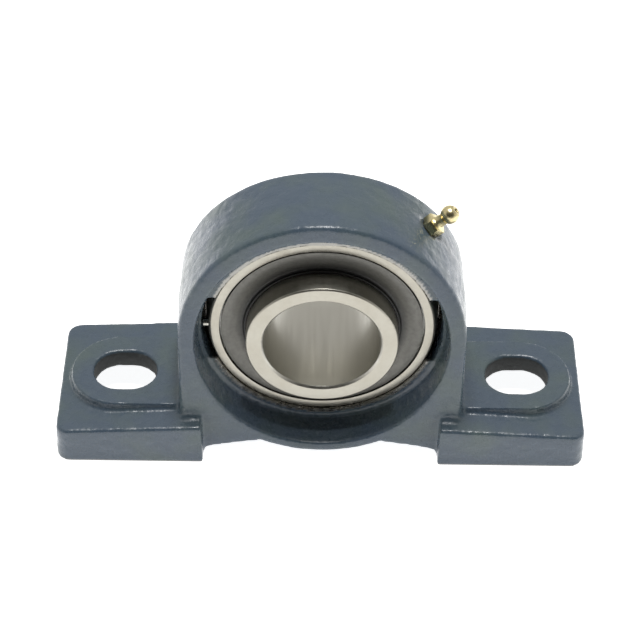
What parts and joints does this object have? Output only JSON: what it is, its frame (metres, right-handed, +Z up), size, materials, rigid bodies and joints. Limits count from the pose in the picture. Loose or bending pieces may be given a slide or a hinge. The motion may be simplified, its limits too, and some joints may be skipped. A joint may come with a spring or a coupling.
{
  "type": "pillow block bearing",
  "caption": "Pillow block bearing: cast-iron housing with two slotted feet, holding a self-aligning sealed ball bearing insert with grease nipple.",
  "frame": {"origin": "centre of the bearing on the shaft axis, in the middle of the spherical seat", "axes": "+X along the base, +Y along the shaft towards the long end of the inner ring, +Z up from the base"},
  "size_m": [0.1858, 0.0581, 0.0989],
  "materials": {
    "housing_paint": "semi-gloss blue-grey paint over sand-cast iron",
    "nipple_brass": "yellow passivated",
    "bearing_steel": "polished bearing steel",
    "ring_steel": "ground bearing steel",
    "pressed_steel": "pressed steel sheet",
    "flinger_steel": "dull zinc-plated pressed steel",
    "seal_rubber": "black nitrile rubber",
    "spring_wire": "drawn spring wire",
    "black_steel": "black oxide alloy steel"
  },
  "bodies": {
    "housing": {"housing": "housing_paint", "grease_nipple": "nipple_brass", "nipple_spring": "spring_wire"},
    "outer_race": {"outer_ring": "ring_steel", "locating_pin": "bearing_steel", "front_seal_plate": "pressed_steel", "rear_seal_plate": "pressed_steel", "front_seal_lip": "seal_rubber", "rear_seal_lip": "seal_rubber"},
    "inner_race": {"inner_ring": "ring_steel", "front_flinger": "flinger_steel", "rear_flinger": "flinger_steel", "set_screw_top": "black_steel", "set_screw_side": "black_steel"},
    "cage": {"cage_front": "pressed_steel", "cage_rear": "pressed_steel", "cage_rivets": "pressed_steel"},
    "check_ball": {"nipple_check_ball": "bearing_steel"},
    "ball_1": {"ball_1": "bearing_steel"},
    "ball_2": {"ball_2": "bearing_steel"},
    "ball_3": {"ball_3": "bearing_steel"},
    "ball_4": {"ball_4": "bearing_steel"},
    "ball_5": {"ball_5": "bearing_steel"},
    "ball_6": {"ball_6": "bearing_steel"},
    "ball_7": {"ball_7": "bearing_steel"},
    "ball_8": {"ball_8": "bearing_steel"},
    "ball_9": {"ball_9": "bearing_steel"}
  },
  "joints": [
    {"name": "self_align", "type": "hinge", "parent": "housing", "child": "outer_race", "pos_m": [0, 0, 0], "axis": [1, 0, 0], "range_deg": [-2, 2]},
    {"name": "shaft_spin", "type": "hinge", "parent": "outer_race", "child": "inner_race", "pos_m": [0, 0, 0], "axis": [0, 1, 0], "continuous": true},
    {"name": "cage_orbit", "type": "hinge", "parent": "outer_race", "child": "cage", "pos_m": [0, 0, 0], "axis": [0, 1, 0], "continuous": true},
    {"name": "nipple_valve", "type": "slide", "parent": "housing", "child": "check_ball", "axis": [-0.7314, 0, -0.682], "range_m": [0, 0.0008], "stiffness_N_per_m": 150, "springref_m": -0.002, "deforming": ["nipple_spring"]},
    {"name": "ball_1_spin", "type": "hinge", "parent": "cage", "child": "ball_1", "pos_m": [0, 0, 0.03], "axis": [0, 1, 0], "continuous": true},
    {"name": "ball_2_spin", "type": "hinge", "parent": "cage", "child": "ball_2", "pos_m": [0.01928, 0, 0.02298], "axis": [0, 1, 0], "continuous": true},
    {"name": "ball_3_spin", "type": "hinge", "parent": "cage", "child": "ball_3", "pos_m": [0.02954, 0, 0.00521], "axis": [0, 1, 0], "continuous": true},
    {"name": "ball_4_spin", "type": "hinge", "parent": "cage", "child": "ball_4", "pos_m": [0.02598, 0, -0.015], "axis": [0, 1, 0], "continuous": true},
    {"name": "ball_5_spin", "type": "hinge", "parent": "cage", "child": "ball_5", "pos_m": [0.01026, 0, -0.02819], "axis": [0, 1, 0], "continuous": true},
    {"name": "ball_6_spin", "type": "hinge", "parent": "cage", "child": "ball_6", "pos_m": [-0.01026, 0, -0.02819], "axis": [0, 1, 0], "continuous": true},
    {"name": "ball_7_spin", "type": "hinge", "parent": "cage", "child": "ball_7", "pos_m": [-0.02598, 0, -0.015], "axis": [0, 1, 0], "continuous": true},
    {"name": "ball_8_spin", "type": "hinge", "parent": "cage", "child": "ball_8", "pos_m": [-0.02954, 0, 0.00521], "axis": [0, 1, 0], "continuous": true},
    {"name": "ball_9_spin", "type": "hinge", "parent": "cage", "child": "ball_9", "pos_m": [-0.01928, 0, 0.02298], "axis": [0, 1, 0], "continuous": true}
  ],
  "couplings": [
    {"joint": "cage_orbit", "follows": "shaft_spin", "ratio": 0.4},
    {"joint": "ball_1_spin", "follows": "shaft_spin", "ratio": -2.4},
    {"joint": "ball_2_spin", "follows": "shaft_spin", "ratio": -2.4},
    {"joint": "ball_3_spin", "follows": "shaft_spin", "ratio": -2.4},
    {"joint": "ball_4_spin", "follows": "shaft_spin", "ratio": -2.4},
    {"joint": "ball_5_spin", "follows": "shaft_spin", "ratio": -2.4},
    {"joint": "ball_6_spin", "follows": "shaft_spin", "ratio": -2.4},
    {"joint": "ball_7_spin", "follows": "shaft_spin", "ratio": -2.4},
    {"joint": "ball_8_spin", "follows": "shaft_spin", "ratio": -2.4},
    {"joint": "ball_9_spin", "follows": "shaft_spin", "ratio": -2.4}
  ]
}
